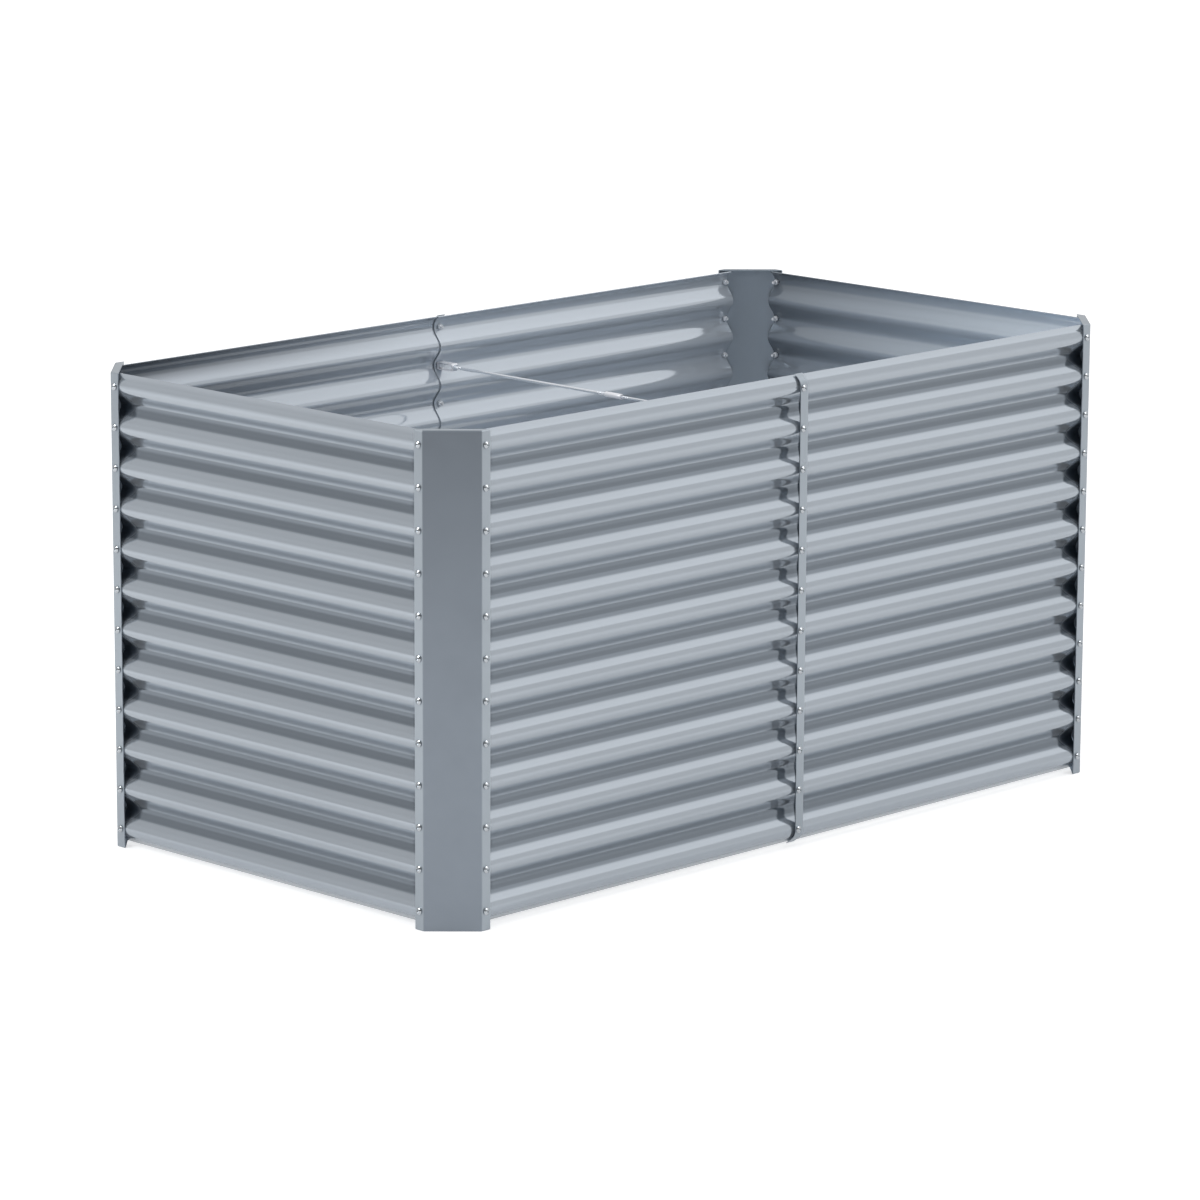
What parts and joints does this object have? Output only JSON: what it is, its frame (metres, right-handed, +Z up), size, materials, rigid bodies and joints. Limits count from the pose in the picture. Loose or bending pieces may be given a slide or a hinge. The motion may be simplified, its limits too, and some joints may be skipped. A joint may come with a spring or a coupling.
{
  "type": "raised garden bed",
  "caption": "Deep rectangular raised garden bed of corrugated steel panels screwed to folded corner posts, open top and bottom, with a tie rod across the middle.",
  "frame": {"origin": "on the ground at the middle of the bed", "axes": "+X along the long walls, -Y out of the front wall, +Z up"},
  "size_m": [1.2062, 0.6562, 0.6],
  "materials": {
    "post_steel": "satin zinc-coated steel, bluish grey",
    "panel_steel": "glossy zinc-coated steel, grey",
    "strip_steel": "satin zinc-coated steel, light grey",
    "tie_steel": "bright zinc plate, slightly warm",
    "screw_zinc": "bright zinc plate"
  },
  "bodies": {
    "bed": {"post_front_left": "post_steel", "post_front_right": "post_steel", "post_back_left": "post_steel", "post_back_right": "post_steel", "panel_front_left": "panel_steel", "panel_front_right": "panel_steel", "panel_back_left": "panel_steel", "panel_back_right": "panel_steel", "panel_side_left": "panel_steel", "panel_side_right": "panel_steel", "seam_strip_front": "strip_steel", "seam_strip_back": "strip_steel", "tie_bracket_front": "tie_steel", "tie_bracket_back": "tie_steel", "tie_rod_front": "tie_steel", "tie_rod_back": "tie_steel", "tie_jam_nut_front": "tie_steel", "tie_jam_nut_back": "tie_steel", "bolt_front_left_top": "screw_zinc", "bolt_front_left_bottom": "screw_zinc", "bolt_front_right_top": "screw_zinc", "bolt_front_right_bottom": "screw_zinc", "bolt_front_seam_tie": "screw_zinc", "bolt_front_seam_bottom": "screw_zinc", "bolt_back_left_top": "screw_zinc", "bolt_back_left_bottom": "screw_zinc", "bolt_back_right_top": "screw_zinc", "bolt_back_right_bottom": "screw_zinc", "bolt_back_seam_tie": "screw_zinc", "bolt_back_seam_bottom": "screw_zinc", "bolt_left_front_top": "screw_zinc", "bolt_left_front_bottom": "screw_zinc", "bolt_left_back_top": "screw_zinc", "bolt_left_back_bottom": "screw_zinc", "bolt_right_front_top": "screw_zinc", "bolt_right_front_bottom": "screw_zinc", "bolt_right_back_top": "screw_zinc", "bolt_right_back_bottom": "screw_zinc", "nut_front_left_top": "screw_zinc", "nut_front_left_bottom": "screw_zinc", "nut_front_right_top": "screw_zinc", "nut_front_right_bottom": "screw_zinc", "nut_front_seam_tie": "screw_zinc", "nut_front_seam_bottom": "screw_zinc", "nut_back_left_top": "screw_zinc", "nut_back_left_bottom": "screw_zinc", "nut_back_right_top": "screw_zinc", "nut_back_right_bottom": "screw_zinc", "nut_back_seam_tie": "screw_zinc", "nut_back_seam_bottom": "screw_zinc", "nut_left_front_top": "screw_zinc", "nut_left_front_bottom": "screw_zinc", "nut_left_back_top": "screw_zinc", "nut_left_back_bottom": "screw_zinc", "nut_right_front_top": "screw_zinc", "nut_right_front_bottom": "screw_zinc", "nut_right_back_top": "screw_zinc", "nut_right_back_bottom": "screw_zinc"},
    "sleeve": {"tie_sleeve": "tie_steel"}
  },
  "joints": [
    {"name": "sleeve_turn", "type": "hinge", "parent": "bed", "child": "sleeve", "pos_m": [0, 0, 0.5319], "axis": [0, 1, 0], "range_deg": [-360, 360]}
  ]
}
